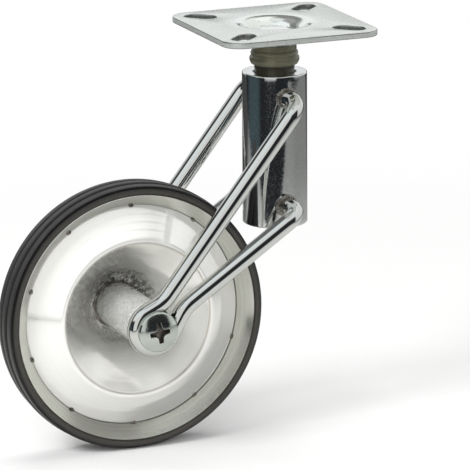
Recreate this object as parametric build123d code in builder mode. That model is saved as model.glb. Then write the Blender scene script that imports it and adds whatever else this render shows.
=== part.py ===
from build123d import *
import os
from math import acos, asin, atan2, cos, hypot, pi, sin, tan

# Swivel castor with a bent-wire fork and a single dished disc wheel.
# Origin: centre of the mounting plate's top face. +Z up, the wheel trails towards -X,
# its axle runs along Y, and the near side is -Y. All lengths are in millimetres.

# --- driving dimensions -------------------------------------------------------------

# layout
axle_drop = 130.8          # plate top down to the wheel axle
trail = 72.2               # swivel axis back to the wheel axle
fork_half_width = 28.8     # wheel mid-plane out to each wire's centre plane

# mounting plate
plate_length = 76.0
plate_width = 76.0
plate_thickness = 3.0
plate_corner = 9.0
plate_edge_break = 0.6
slot_spacing_x = 52.0
slot_spacing_y = 52.0
slot_length = 15.5
slot_width = 8.5
recess_depth = 5.0         # pressed well that takes the kingpin's head
recess_mouth_radius = 14.0
recess_floor_radius = 11.6
recess_blend = 12.0        # width of the flat ring formed together with the well
mouth_fillet = 2.2
floor_fillet = 1.2

# kingpin and what it carries
pin_radius = 6.0
pin_head_radius = 10.6
pin_head_height = 2.2
pin_thread_radius = 5.0
thrust_radius = 11.0
thrust_thickness = 1.5
pin_washer_radius = 11.0
pin_washer_thickness = 2.0
nut_flats = 17.0
nut_height = 6.8
nut_collar_height = 1.8
nut_collar_radius = 7.6

# swivel tube and its two nylon bushes
tube_radius = 15.0
tube_bore_radius = 10.0
tube_length = 71.4
tube_edge_break = 0.5
socket_radius = 12.0       # counterbore at the foot of the tube
socket_depth = 15.0
collar_height = 8.7        # part of the upper bush that stands between plate and tube
collar_radius = 11.7
collar_top_radius = 10.3
neck_height = 4.5
neck_radius = 9.75
upper_bush_depth = 15.0
lower_bush_depth = 12.0
lower_flange_thickness = 2.5
lower_flange_radius = 11.8
ring_groove_depth = 0.5

# fork wires
wire_radius = 4.0
stub_inset = 10.4          # tube end to the axis of the nearest stub
stub_bend_radius = 7.5
eye_radius = 8.8           # centreline of the loop round the axle
kink_radius = 8.0
upper_kink = (5.0, 12.25)  # corner of each leg beside the eye, from the axle in X and Z
lower_kink = (15.0, 8.6)
bead_width = 2.4
bead_height = 2.2

# axle
barrel_radius = 4.75
barrel_bore_radius = 3.0
head_radius = 9.4
head_height = 4.4
head_rim_height = 0.8
screw_length = 24.0
cross_length = 9.2
cross_width = 2.3
cross_depth = 2.8
cross_turn = 8.0
washer_radius = 9.5
washer_thickness = 1.0

# wheel
tyre_half_width = 9.6
tyre_height = 4.9          # rubber beyond the rim's lips
tread_half_width = 5.4
tread_crown = 0.5
groove_width = 0.9
groove_depth = 1.6
shoulder_drop = 1.7
rim_thickness = 1.5
rim_land_radius = 52.0
rim_land_half_width = 1.8
rim_flare = 5.6            # how far the lips stand out beyond the land
rim_lip_half_width = 9.1
disc_thickness = 1.5
disc_flange_depth = 4.0
disc_shoulder = 1.2        # where the conical face starts, in front of the mid-plane
crown_radius = 36.0        # ridge between the conical face and the bowl
crown_height = 10.1
bowl_floor_radius = 14.5
bowl_depth = 18.7          # bowl floor behind the mid-plane
crown_fillet = 3.0
bowl_fillet = 6.0
hub_radius = 10.5
hub_bore_radius = 8.0
bush_length = 14.0
bush_flange_radius = 10.2
bush_flange_thickness = 1.2
hub_bead = 3.2
tack_count = 10
tack_radius = 1.1

# clearances
pin_clearance = 0.05       # radial, kingpin in its bushes
barrel_clearance = 0.05    # radial, axle barrel in the hub bushes and in the eyes
thrust_play = 0.1          # axial, between faces that turn on each other
hub_end_play = 0.2
socket_clearance = 0.2

# --- heights and places that follow --------------------------------------------------

recess_floor = -recess_depth
recess_underside = recess_floor - plate_thickness
thrust_underside = recess_underside - thrust_thickness
bush_top = thrust_underside - thrust_play
collar_underside = bush_top - collar_height
tube_top = collar_underside - neck_height
tube_foot = tube_top - tube_length
socket_top = tube_foot + socket_depth
lower_flange_underside = socket_top - lower_flange_thickness
washer_top = lower_flange_underside - thrust_play
nut_top = washer_top - pin_washer_thickness
pin_foot = nut_top - nut_height - nut_collar_height

axle_centre = (-trail, 0, -axle_drop)
wheel_axis = Axis(axle_centre, (0, 1, 0))
wheel_section = Plane(origin=axle_centre, z_dir=(0, 0, 1))

eye_inner_face = fork_half_width - wire_radius
eye_outer_face = fork_half_width + wire_radius
washer_inner_face = eye_inner_face - washer_thickness
hub_outer_face = washer_inner_face - hub_end_play
hub_half_length = hub_outer_face - bush_flange_thickness
rim_lip_radius = rim_land_radius + rim_flare
tyre_radius = rim_lip_radius + tyre_height


def finish(name, part):
    """Label a finished sub-part and write it as its own STEP file."""
    part.label = name
    export_step(part, f"parts/{name}.step")


os.makedirs("parts", exist_ok=True)

# --- mounting plate ------------------------------------------------------------------

# the sheet keeps its thickness round the well, so its underside corners move outwards
well_wall_angle = atan2(recess_depth, recess_mouth_radius - recess_floor_radius)
well_shift = plate_thickness * tan(well_wall_angle / 2)
well_outer_radius = recess_mouth_radius + well_shift + recess_blend / 2

with BuildPart() as mounting_plate:
    with BuildSketch(Plane.XY.offset(-plate_thickness)):
        RectangleRounded(plate_length, plate_width, plate_corner)
    extrude(amount=plate_thickness)
    chamfer(mounting_plate.faces().sort_by(Axis.Z)[-1].edges(), plate_edge_break)
    with BuildSketch():
        Circle(well_outer_radius)
        for side_x in (-1, 1):
            for side_y in (-1, 1):
                with Locations((side_x * slot_spacing_x / 2, side_y * slot_spacing_y / 2)):
                    SlotOverall(slot_length, slot_width, rotation=45 * side_x * side_y)
    extrude(amount=-plate_thickness, mode=Mode.SUBTRACT)
    with BuildSketch(Plane.XZ):
        with BuildLine():
            FilletPolyline(
                (well_outer_radius, 0),
                (recess_mouth_radius, 0),
                (recess_floor_radius, recess_floor),
                (pin_radius, recess_floor),
                radius=(mouth_fillet, floor_fillet),
            )
            Line((pin_radius, recess_floor), (pin_radius, recess_underside))
            FilletPolyline(
                (pin_radius, recess_underside),
                (recess_floor_radius + well_shift, recess_underside),
                (recess_mouth_radius + well_shift, -plate_thickness),
                (well_outer_radius, -plate_thickness),
                radius=(floor_fillet + plate_thickness / 2, floor_fillet),
            )
            Line((well_outer_radius, -plate_thickness), (well_outer_radius, 0))
        make_face()
    revolve(axis=Axis.Z)
finish("mounting_plate", mounting_plate.part)

# --- kingpin, thrust washer, washer and lock nut ---------------------------------------

with BuildPart() as kingpin:
    with BuildSketch(Plane.XZ):
        with BuildLine():
            Polyline(
                (0, recess_floor + pin_head_height),
                (pin_head_radius * 0.55, recess_floor + pin_head_height),
                (pin_head_radius, recess_floor + pin_head_height / 2),
                (pin_head_radius, recess_floor),
                (pin_radius, recess_floor),
                (pin_radius, washer_top),
                (pin_thread_radius, washer_top),
                (pin_thread_radius, pin_foot),
                (0, pin_foot),
                close=True,
            )
        make_face()
    revolve(axis=Axis.Z)
    chamfer(kingpin.faces().sort_by(Axis.Z)[0].edges(), pin_thread_radius / 6)
    rims = kingpin.edges().filter_by(GeomType.CIRCLE)
    fillet(rims.filter_by(lambda e: abs(e.radius - pin_head_radius) < 0.01).sort_by(Axis.Z)[-1], 0.5)
finish("kingpin", kingpin.part)

with BuildPart() as thrust_washer:
    with BuildSketch(Plane.XY.offset(thrust_underside)):
        Circle(thrust_radius)
        Circle(pin_radius, mode=Mode.SUBTRACT)
    extrude(amount=thrust_thickness)
finish("thrust_washer", thrust_washer.part)

with BuildPart() as pin_washer:
    with BuildSketch(Plane.XY.offset(nut_top)):
        Circle(pin_washer_radius)
        Circle(pin_thread_radius, mode=Mode.SUBTRACT)
    extrude(amount=pin_washer_thickness)
finish("pin_washer", pin_washer.part)

with BuildPart() as lock_nut:
    with BuildSketch(Plane.XY.offset(nut_top)):
        RegularPolygon(nut_flats / 2, 6, major_radius=False)
    extrude(amount=-nut_height)
    # the hexagon's corners are turned off by a cone at both ends
    with BuildSketch(Plane.XZ):
        with BuildLine():
            Polyline(
                (0, nut_top),
                (nut_flats / 2 + 0.2, nut_top),
                (nut_flats / 2 + 1.6, nut_top - 0.8),
                (nut_flats / 2 + 1.6, nut_top - nut_height + 0.8),
                (nut_flats / 2 + 0.2, nut_top - nut_height),
                (0, nut_top - nut_height),
                close=True,
            )
        make_face()
    revolve(axis=Axis.Z, mode=Mode.INTERSECT)
    with BuildSketch(Plane.XY.offset(nut_top - nut_height)):
        Circle(nut_collar_radius)
    extrude(amount=-nut_collar_height)
    fillet(lock_nut.faces().sort_by(Axis.Z)[0].edges(), nut_collar_height / 2)
    with BuildSketch(Plane.XY.offset(nut_top)):
        Circle(pin_thread_radius)
    extrude(amount=-(nut_height + nut_collar_height), mode=Mode.SUBTRACT)
finish("lock_nut", lock_nut.part)

# --- swivel tube and its bushes --------------------------------------------------------

with BuildPart() as swivel_tube:
    with BuildSketch(Plane.XY.offset(tube_foot)):
        Circle(tube_radius)
        Circle(tube_bore_radius, mode=Mode.SUBTRACT)
    extrude(amount=tube_length)
    with BuildSketch(Plane.XY.offset(tube_foot)):
        Circle(socket_radius)
    extrude(amount=socket_depth, mode=Mode.SUBTRACT)
    ends = swivel_tube.faces().filter_by(Axis.Z).sort_by(Axis.Z)
    chamfer(ends[0].edges() + ends[-1].edges(), tube_edge_break)
finish("swivel_tube", swivel_tube.part)

ring_top = bush_top - collar_height * 0.27
ring_low = bush_top - collar_height * 0.48
belly = bush_top - collar_height * 0.78

with BuildPart() as upper_bush:
    with BuildSketch(Plane.XZ):
        with BuildLine():
            Polyline(
                (pin_radius + pin_clearance, bush_top),
                (collar_top_radius - ring_groove_depth, bush_top),
                (collar_top_radius, bush_top - ring_groove_depth),
                (collar_top_radius, ring_top),
                (collar_top_radius - ring_groove_depth, ring_top - ring_groove_depth),
                (collar_top_radius + ring_groove_depth, ring_top - 2 * ring_groove_depth),
                (collar_radius - ring_groove_depth, ring_low),
                (collar_radius - 2 * ring_groove_depth, ring_low - ring_groove_depth),
            )
            Spline(
                (collar_radius - 2 * ring_groove_depth, ring_low - ring_groove_depth),
                (collar_radius, belly),
                (collar_radius - 1.2, collar_underside),
            )
            Polyline(
                (collar_radius - 1.2, collar_underside),
                (neck_radius, collar_underside),
                (neck_radius, tube_top - tube_edge_break),
                (tube_bore_radius, tube_top - 2 * tube_edge_break),
                (tube_bore_radius, tube_top - upper_bush_depth),
                (pin_radius + pin_clearance, tube_top - upper_bush_depth),
                (pin_radius + pin_clearance, bush_top),
            )
        make_face()
    revolve(axis=Axis.Z)
finish("upper_bush", upper_bush.part)

with BuildPart() as lower_bush:
    with BuildSketch(Plane.XY.offset(lower_flange_underside)):
        Circle(lower_flange_radius)
    extrude(amount=lower_flange_thickness)
    with BuildSketch(Plane.XY.offset(socket_top)):
        Circle(tube_bore_radius)
    extrude(amount=lower_bush_depth)
    with BuildSketch(Plane.XY.offset(lower_flange_underside)):
        Circle(pin_radius + pin_clearance)
    extrude(amount=lower_flange_thickness + lower_bush_depth, mode=Mode.SUBTRACT)
finish("lower_bush", lower_bush.part)

# --- fork wires: one bent wire a side, looped round the axle ----------------------------

upper_stub = tube_top - stub_inset
lower_stub = tube_foot + stub_inset


def eye_tangent_angle(kink, side):
    """Angle on the eye where a line from the kink just touches it, on the given side."""
    return atan2(kink[1], kink[0]) + side * acos(eye_radius / hypot(*kink))


def in_wire_plane(x, z):
    """Point of the near wire's plane, measured from the axle."""
    return Vector(x - trail, -fork_half_width, z - axle_drop)


def on_eye(angle):
    return in_wire_plane(eye_radius * cos(angle), eye_radius * sin(angle))


upper_touch = eye_tangent_angle(upper_kink, 1)
lower_touch = eye_tangent_angle(lower_kink, -1)

with BuildPart() as near_fork_wire:
    with BuildLine() as route:
        FilletPolyline(
            (0, -wire_radius, upper_stub),
            (0, -fork_half_width, upper_stub),
            in_wire_plane(*upper_kink),
            on_eye(upper_touch),
            radius=(stub_bend_radius, kink_radius),
        )
        ThreePointArc(
            on_eye(upper_touch),
            on_eye((upper_touch + lower_touch) / 2 + pi),
            on_eye(lower_touch),
        )
        FilletPolyline(
            on_eye(lower_touch),
            in_wire_plane(*lower_kink),
            (0, -fork_half_width, lower_stub),
            (0, -wire_radius, lower_stub),
            radius=(kink_radius, stub_bend_radius),
        )
    with BuildSketch(Plane(origin=route.line @ 0, z_dir=route.line % 0)):
        Circle(wire_radius)
    sweep()
    # both stubs are coped to sit on the tube
    with BuildSketch(Plane.XY.offset(tube_foot)):
        Circle(tube_radius)
    extrude(amount=tube_length, mode=Mode.SUBTRACT)
finish("near_fork_wire", near_fork_wire.part)

with BuildPart() as far_fork_wire:
    mirror(near_fork_wire.part, about=Plane.XZ)
finish("far_fork_wire", far_fork_wire.part)


def stub_beads(height):
    """Weld beads round the near and the far stub at one height on the tube."""
    with BuildPart() as beads:
        with BuildSketch(Plane.XY.offset(height)):
            with BuildLine():
                Polyline(
                    (0, -tube_bore_radius),
                    (wire_radius + bead_width, -tube_bore_radius),
                    (wire_radius + bead_width, -tube_radius + bead_height / 2),
                )
                RadiusArc(
                    (wire_radius + bead_width, -tube_radius + bead_height / 2),
                    (wire_radius, -tube_radius - bead_height),
                    bead_width + bead_height,
                )
                Polyline(
                    (wire_radius, -tube_radius - bead_height),
                    (0, -tube_radius - bead_height),
                    (0, -tube_bore_radius),
                )
            make_face()
        revolve(axis=Axis((0, 0, height), (0, 1, 0)))
        with BuildSketch(Plane.XZ.offset(tube_bore_radius)):
            with Locations((0, height)):
                Circle(wire_radius)
        extrude(amount=fork_half_width, mode=Mode.SUBTRACT)
        with BuildSketch(Plane.XY.offset(tube_foot)):
            Circle(tube_radius)
        extrude(amount=tube_length, mode=Mode.SUBTRACT)
        mirror(about=Plane.XZ)
    return beads.part


finish("upper_stub_welds", stub_beads(upper_stub))
finish("lower_stub_welds", stub_beads(lower_stub))

# --- axle: headed barrel from the far side, cross-recess screw from the near side -------


def domed_head(side):
    """Domed head seated on the outer face of the near (-1) or the far (1) eye."""
    seat = side * eye_outer_face
    rim = seat + side * head_rim_height
    top = seat + side * head_height
    dome = head_height - head_rim_height
    dome_radius = (head_radius**2 + dome**2) / (2 * dome)
    halfway = asin(head_radius / dome_radius) / 2
    with BuildPart() as head:
        with BuildSketch(wheel_section):
            with BuildLine():
                Polyline((0, top), (0, seat), (head_radius, seat), (head_radius, rim))
                ThreePointArc(
                    (head_radius, rim),
                    (dome_radius * sin(halfway), top - side * dome_radius * (1 - cos(halfway))),
                    (0, top),
                )
            make_face()
        revolve(axis=wheel_axis)
    return head.part


near_seat = Plane(
    origin=(-trail, -eye_outer_face, -axle_drop), x_dir=(1, 0, 0), z_dir=(0, 1, 0)
)
barrel_length = 2 * eye_outer_face - head_rim_height

with BuildPart() as axle_barrel:
    add(domed_head(1))
    with BuildSketch(near_seat.offset(head_rim_height)):
        Circle(barrel_radius)
    extrude(amount=barrel_length)
    with BuildSketch(near_seat):
        Circle(barrel_bore_radius)
    extrude(amount=screw_length + head_height, mode=Mode.SUBTRACT)
finish("axle_barrel", axle_barrel.part)

with BuildPart() as axle_screw:
    add(domed_head(-1))
    with BuildSketch(near_seat):
        Circle(barrel_bore_radius)
    extrude(amount=screw_length)
    with BuildSketch(near_seat.offset(-head_height)):
        for turn in (0, 90):
            SlotOverall(cross_length, cross_width, rotation=cross_turn + turn)
    extrude(amount=cross_depth, taper=12, mode=Mode.SUBTRACT)
finish("axle_screw", axle_screw.part)

for name, side in (("near_axle_washer", -1), ("far_axle_washer", 1)):
    with BuildPart() as axle_washer:
        with BuildSketch(wheel_section):
            with Locations(
                (
                    (washer_radius + barrel_radius + barrel_clearance) / 2,
                    side * (eye_inner_face + washer_inner_face) / 2,
                )
            ):
                Rectangle(washer_radius - barrel_radius - barrel_clearance, washer_thickness)
        revolve(axis=wheel_axis)
    finish(name, axle_washer.part)

# --- wheel -----------------------------------------------------------------------------

with BuildPart() as hub_tube:
    with BuildSketch(wheel_section):
        with Locations(((hub_radius + hub_bore_radius) / 2, 0)):
            Rectangle(hub_radius - hub_bore_radius, 2 * hub_half_length)
    revolve(axis=wheel_axis)
finish("hub_tube", hub_tube.part)

for name, side in (("near_hub_bush", -1), ("far_hub_bush", 1)):
    with BuildPart() as hub_bush:
        with BuildSketch(wheel_section):
            with BuildLine():
                Polyline(
                    (barrel_radius + barrel_clearance, side * hub_outer_face),
                    (bush_flange_radius, side * hub_outer_face),
                    (bush_flange_radius, side * hub_half_length),
                    (hub_bore_radius, side * hub_half_length),
                    (hub_bore_radius, side * (hub_half_length - bush_length)),
                    (barrel_radius + barrel_clearance, side * (hub_half_length - bush_length)),
                    close=True,
                )
            make_face()
        revolve(axis=wheel_axis)
    finish(name, hub_bush.part)

# one spun sheet: flange in the rim, conical face, rounded ridge, deep bowl down to the hub
with BuildPart() as wheel_disc:
    with BuildSketch(wheel_section):
        with BuildLine():
            FilletPolyline(
                (rim_land_radius, disc_flange_depth),
                (rim_land_radius, -disc_shoulder),
                (crown_radius, -crown_height),
                (bowl_floor_radius, bowl_depth),
                (hub_radius, bowl_depth),
                radius=(disc_thickness + 0.4, crown_fillet, bowl_fillet),
            )
            offset(amount=disc_thickness, side=Side.RIGHT)
        make_face()
    revolve(axis=wheel_axis)
finish("wheel_disc", wheel_disc.part)

with BuildPart() as hub_welds:
    with BuildSketch(wheel_section):
        for face, out in ((bowl_depth, -1), (bowl_depth + disc_thickness, 1)):
            with BuildLine():
                Polyline((hub_radius, face + out * hub_bead), (hub_radius, face), (hub_radius + hub_bead, face))
                RadiusArc(
                    (hub_radius + hub_bead, face), (hub_radius, face + out * hub_bead), out * 1.5 * hub_bead
                )
            make_face()
    revolve(axis=wheel_axis)
    add(wheel_disc.part, mode=Mode.SUBTRACT)
finish("hub_welds", hub_welds.part)

with BuildPart() as wheel_rim:
    with BuildSketch(wheel_section):
        with BuildLine():
            FilletPolyline(
                (rim_lip_radius, -rim_lip_half_width),
                (rim_land_radius, -rim_land_half_width),
                (rim_land_radius, rim_land_half_width),
                (rim_lip_radius, rim_lip_half_width),
                radius=rim_thickness,
            )
            offset(amount=rim_thickness, side=Side.RIGHT)
        make_face()
    revolve(axis=wheel_axis)
finish("wheel_rim", wheel_rim.part)

groove_floor = tyre_radius - tread_crown - groove_depth
groove_outer = tread_half_width + groove_width
rib_radius = tyre_radius - shoulder_drop

with BuildPart() as tyre:
    with BuildSketch(wheel_section):
        with BuildLine():
            ThreePointArc(
                (tyre_radius - tread_crown, -tread_half_width),
                (tyre_radius, 0),
                (tyre_radius - tread_crown, tread_half_width),
            )
            for side in (-1, 1):
                Polyline(
                    (tyre_radius - tread_crown, side * tread_half_width),
                    (groove_floor, side * (tread_half_width + groove_width * 0.3)),
                    (groove_floor, side * (groove_outer - groove_width * 0.2)),
                    (rib_radius, side * groove_outer),
                    (rib_radius - shoulder_drop / 2, side * (tyre_half_width - 0.6)),
                    (rib_radius - shoulder_drop, side * tyre_half_width),
                    (rim_lip_radius + rim_thickness * 0.4, side * (rim_lip_half_width + 0.1)),
                    (rim_lip_radius + rim_thickness / 2, side * rim_lip_half_width),
                    (rim_land_radius + rim_thickness / 2, side * rim_land_half_width),
                )
            Line(
                (rim_land_radius + rim_thickness / 2, -rim_land_half_width),
                (rim_land_radius + rim_thickness / 2, rim_land_half_width),
            )
        make_face()
    revolve(axis=wheel_axis)
    add(wheel_rim.part, mode=Mode.SUBTRACT)
finish("tyre", tyre.part)

# small weld tacks in the corner between the disc's shoulder and the rim
tack_ring_radius = rim_land_radius - tack_radius / 4

with BuildPart() as rim_tacks:
    for index in range(tack_count):
        angle = 2 * pi * (index + 0.5) / tack_count
        with Locations(
            (
                -trail + tack_ring_radius * cos(angle),
                -disc_shoulder - tack_radius / 3,
                -axle_drop + tack_ring_radius * sin(angle),
            )
        ):
            Sphere(tack_radius)
    add(wheel_rim.part, mode=Mode.SUBTRACT)
    add(wheel_disc.part, mode=Mode.SUBTRACT)
finish("rim_tacks", rim_tacks.part)
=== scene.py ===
from math import acos, atan2, ceil, cos, hypot, pi, radians, sin, sqrt, tan

import bpy
import bmesh
from mathutils import Matrix, Vector, noise


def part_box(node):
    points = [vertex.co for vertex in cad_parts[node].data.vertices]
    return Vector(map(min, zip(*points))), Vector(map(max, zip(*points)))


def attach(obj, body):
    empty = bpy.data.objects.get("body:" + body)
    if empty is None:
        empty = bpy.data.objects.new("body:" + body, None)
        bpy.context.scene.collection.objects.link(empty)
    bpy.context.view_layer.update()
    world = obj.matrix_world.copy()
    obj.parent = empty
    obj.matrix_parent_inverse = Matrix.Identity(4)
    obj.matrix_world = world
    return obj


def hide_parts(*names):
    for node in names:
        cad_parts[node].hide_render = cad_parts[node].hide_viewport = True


# Looks of a plate-mounted swivel castor. Every visible metal, nylon and rubber piece is rebuilt
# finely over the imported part, in its frame. Sizes here are in millimetres, Blender's in metres.
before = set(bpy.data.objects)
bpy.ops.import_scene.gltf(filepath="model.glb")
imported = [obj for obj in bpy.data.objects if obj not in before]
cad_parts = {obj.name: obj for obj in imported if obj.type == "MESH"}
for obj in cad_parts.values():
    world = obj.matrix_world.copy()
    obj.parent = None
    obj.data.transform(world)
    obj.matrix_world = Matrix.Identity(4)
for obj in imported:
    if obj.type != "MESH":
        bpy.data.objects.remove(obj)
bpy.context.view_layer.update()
mm = 0.001


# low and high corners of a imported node's box, in millimetres
def corners(node):
    return [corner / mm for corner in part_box(node)]


tyreLow, tyreHigh = corners("tyre")
axle = (tyreLow + tyreHigh) / 2
tubeLow, tubeHigh = corners("swivel_tube")
plateLow, plateHigh = corners("mounting_plate")
bushLow, bushHigh = corners("upper_bush")
hubLow, hubHigh = corners("hub_tube")
top, foot = tubeHigh.z, tubeLow.z  # of the swivel tube
trail, drop = -axle.x, -axle.z  # the axle behind and below the swivel
floorHeight = tyreLow.z
print("frame read: axle at", [round(v, 1) for v in axle])


# one shader node. values maps an input's name or number to a number, a colour or a socket
def addNode(tree, kind, values=None, **settings):
    made = tree.nodes.new("ShaderNode" + kind)
    for key, value in settings.items():
        setattr(made, key, value)
    for key, value in (values or {}).items():
        if isinstance(value, bpy.types.NodeSocket):
            tree.links.new(value, made.inputs[key])
        else:
            made.inputs[key].default_value = value
    return made


def feed(node, name, value):
    node.id_data.links.new(value, node.inputs[name])


# result of a Math node on sockets or numbers
def sums(tree, operation, *values):
    return addNode(tree, "Math", dict(enumerate(values)), operation=operation).outputs[0]


def times(tree, first, *others):
    for other in others:
        first = sums(tree, "MULTIPLY", first, other)
    return first


def vectorSums(tree, operation, *values):
    made = addNode(tree, "VectorMath", dict(enumerate(values)), operation=operation)
    return made.outputs["Value" if operation in ("DOT_PRODUCT", "LENGTH", "DISTANCE") else 0]


# one axis of a vector socket
def part(tree, vector, axis):
    return addNode(tree, "SeparateXYZ", {0: vector}).outputs[axis]


def ranged(tree, value, low, high, toLow=0.0, toHigh=1.0, smooth=True):
    kind = "SMOOTHSTEP" if smooth else "LINEAR"
    names = {"Value": value, "From Min": low, "From Max": high, "To Min": toLow, "To Max": toHigh}
    return addNode(tree, "MapRange", names, interpolation_type=kind).outputs[0]


# colour mix of two colours or sockets
def blended(tree, factor, first, second):
    values = {"Factor": factor, 6: first, 7: second}
    return addNode(tree, "Mix", values, data_type="RGBA").outputs[2]


def shade(colour):
    return (*colour, 1.0)


# a colour made lighter or darker
def scaled(colour, factor):
    return shade([min(1.0, c * factor) for c in colour])


# a colour between two strengths of itself
def twoTone(tree, mask, colour, low, high):
    return blended(tree, mask, scaled(colour, low), scaled(colour, high))


# a mask's share of a colour laid over what is under it
def washed(tree, mask, share, under, colour):
    return blended(tree, times(tree, mask, share), under, shade(colour))


# empty node group with named inputs, each with its default, and named outputs that are numbers
def newGroup(name, inputs, outputs):
    tree = bpy.data.node_groups.new(name, "ShaderNodeTree")
    for socketName, default in inputs.items():
        kind = "NodeSocketFloat" if isinstance(default, float) else "NodeSocketVector"
        made = tree.interface.new_socket(socketName, in_out="INPUT", socket_type=kind)
        if default is not None:
            made.default_value = default
    for socketName in outputs:
        tree.interface.new_socket(socketName, in_out="OUTPUT", socket_type="NodeSocketFloat")
    return tree, tree.nodes.new("NodeGroupInput").outputs, tree.nodes.new("NodeGroupOutput")


# outputs of a shared effect placed in a tree, with its inputs' values in order
def placed(tree, name, *values):
    return addNode(tree, "Group", dict(enumerate(values)), node_tree=groups[name]).outputs


# fine turned rings round the piece's own axis, from its radius alone
def makeRingGrain():
    tree, given, result = newGroup(
        "ringGrain", {"Position": None, "Fineness": 1.0, "Waver": 0.2}, ["Radius", "Height", "Tone"])
    split = addNode(tree, "SeparateXYZ", {0: given["Position"]})
    flat = addNode(tree, "CombineXYZ", {0: split.outputs[0], 2: split.outputs[2]}).outputs[0]
    radius = vectorSums(tree, "LENGTH", flat)
    drift = addNode(tree, "TexNoise", {"Vector": given["Position"], "Scale": 55.0})
    wavered = times(tree, sums(tree, "SUBTRACT", drift.outputs[0], 0.5), given["Waver"])
    along = times(tree, sums(tree, "ADD", times(tree, radius, 1000.0), wavered), given["Fineness"])
    feed(result, "Radius", radius)
    for name, scale, detail in (("Height", 3.1, 3.0), ("Tone", 0.42, 1.0)):
        values = {"W": along, "Scale": scale, "Detail": detail}
        rings = addNode(tree, "TexNoise", values, noise_dimensions="1D")
        feed(result, name, rings.outputs[0])
    return tree


# scattered small spots of uneven size
def makeSpeckle():
    tree, given, result = newGroup(
        "speckle", {"Position": None, "Scale": 400.0, "Amount": 0.5}, ["Mask", "Height"])
    values = {"Vector": given["Position"], "Scale": given["Scale"]}
    cells = addNode(tree, "TexVoronoi", values)
    field = addNode(tree, "TexNoise", {**values, "Detail": 2.0})
    size = times(tree, field.outputs[0], given["Amount"])
    spots = sums(tree, "SUBTRACT", size, cells.outputs["Distance"])
    feed(result, "Mask", ranged(tree, spots, -0.05, 0.08))
    feed(result, "Height", ranged(tree, spots, -0.25, 0.25))
    return tree


# soft patches, for uneven plating and handling marks
def makeMottle():
    tree, given, result = newGroup("mottle", {"Position": None, "Scale": 60.0, "Contrast": 1.0}, ["Mask"])
    values = {"Vector": given["Position"], "Scale": given["Scale"]}
    patches = addNode(tree, "TexNoise", {**values, "Detail": 5.0, "Roughness": 0.6})
    centred = sums(tree, "SUBTRACT", patches.outputs[0], 0.5)
    spread = sums(tree, "MULTIPLY_ADD", centred, given["Contrast"], 0.5)
    feed(result, "Mask", addNode(tree, "Clamp", {0: spread}).outputs[0])
    return tree


# long thin scratches along the piece's Y direction
def makeStreaks():
    tree, given, result = newGroup(
        "streaks", {"Position": None, "Fineness": 900.0, "Stretch": (1.0, 0.04, 1.0)}, ["Value"])
    squeezed = vectorSums(tree, "MULTIPLY", given["Position"], given["Stretch"])
    values = {"Vector": squeezed, "Scale": given["Fineness"], "Detail": 3.0}
    lines = addNode(tree, "TexNoise", values)
    feed(result, "Value", lines.outputs[0])
    return tree


# bright rectangle in the studio: centre, across and up directions, half sizes as tangents
def makeSoftbox():
    tree, given, result = newGroup("softbox", {
        "Direction": None, "Centre": None, "Across": None, "Up": None,
        "Half Width": 0.5, "Half Height": 0.5, "Edge": 0.1,
    }, ["Mask"])
    direction = given["Direction"]
    ahead = vectorSums(tree, "DOT_PRODUCT", direction, given["Centre"])
    safe = sums(tree, "MAXIMUM", ahead, 0.01)
    mask = ranged(tree, ahead, 0.02, 0.06)
    for name, half in (("Across", "Half Width"), ("Up", "Half Height")):
        offset = sums(tree, "DIVIDE", vectorSums(tree, "DOT_PRODUCT", direction, given[name]), safe)
        beyond = sums(tree, "SUBTRACT", sums(tree, "ABSOLUTE", offset), given[half])
        share = sums(tree, "DIVIDE", beyond, given["Edge"])
        mask = times(tree, mask, ranged(tree, share, -1.0, 1.0, 1.0, 0.0))
    feed(result, "Mask", mask)
    return tree


groups = {
    "ringGrain": makeRingGrain(), "speckle": makeSpeckle(), "mottle": makeMottle(),
    "streaks": makeStreaks(), "softbox": makeSoftbox(),
}
print("shared effects ready")


# material with one Principled shader, its colour and roughness from a piece's dictionary.
# Settings are socket values, named with spaces as _
def newMaterial(name, piece, **settings):
    made = bpy.data.materials.new(name)
    made.use_nodes = True
    tree = made.node_tree
    surface = tree.nodes["Principled BSDF"]
    surface.inputs["Base Color"].default_value = shade(piece["colour"])
    surface.inputs["Roughness"].default_value = piece["roughness"]
    for key, value in settings.items():
        surface.inputs[key.replace("_", " ")].default_value = value
    position = addNode(tree, "TexCoord").outputs["Object"]
    return made, tree, surface, position


# bump from a height socket into the surface's normal, after another bump if one is given
def bumped(surface, height, strength, distance, before=None):
    values = {"Height": height, "Strength": strength, "Distance": distance * mm}
    if before is not None:
        values["Normal"] = before
    normal = addNode(surface.id_data, "Bump", values).outputs[0]
    feed(surface, "Normal", normal)
    return normal


# uneven roughness: low to high times the piece's own, as the mask runs from start to end
def roughened(surface, mask, start, end, piece, low, high):
    rough = piece["roughness"]
    feed(surface, "Roughness", ranged(surface.id_data, mask, start, end, rough * low, rough * high, False))


# the shader's grain turned round the wheel's own axis
def turnGrain(surface):
    tangent = addNode(surface.id_data, "Tangent", direction_type="RADIAL", axis="Y")
    feed(surface, "Tangent", tangent.outputs[0])


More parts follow.
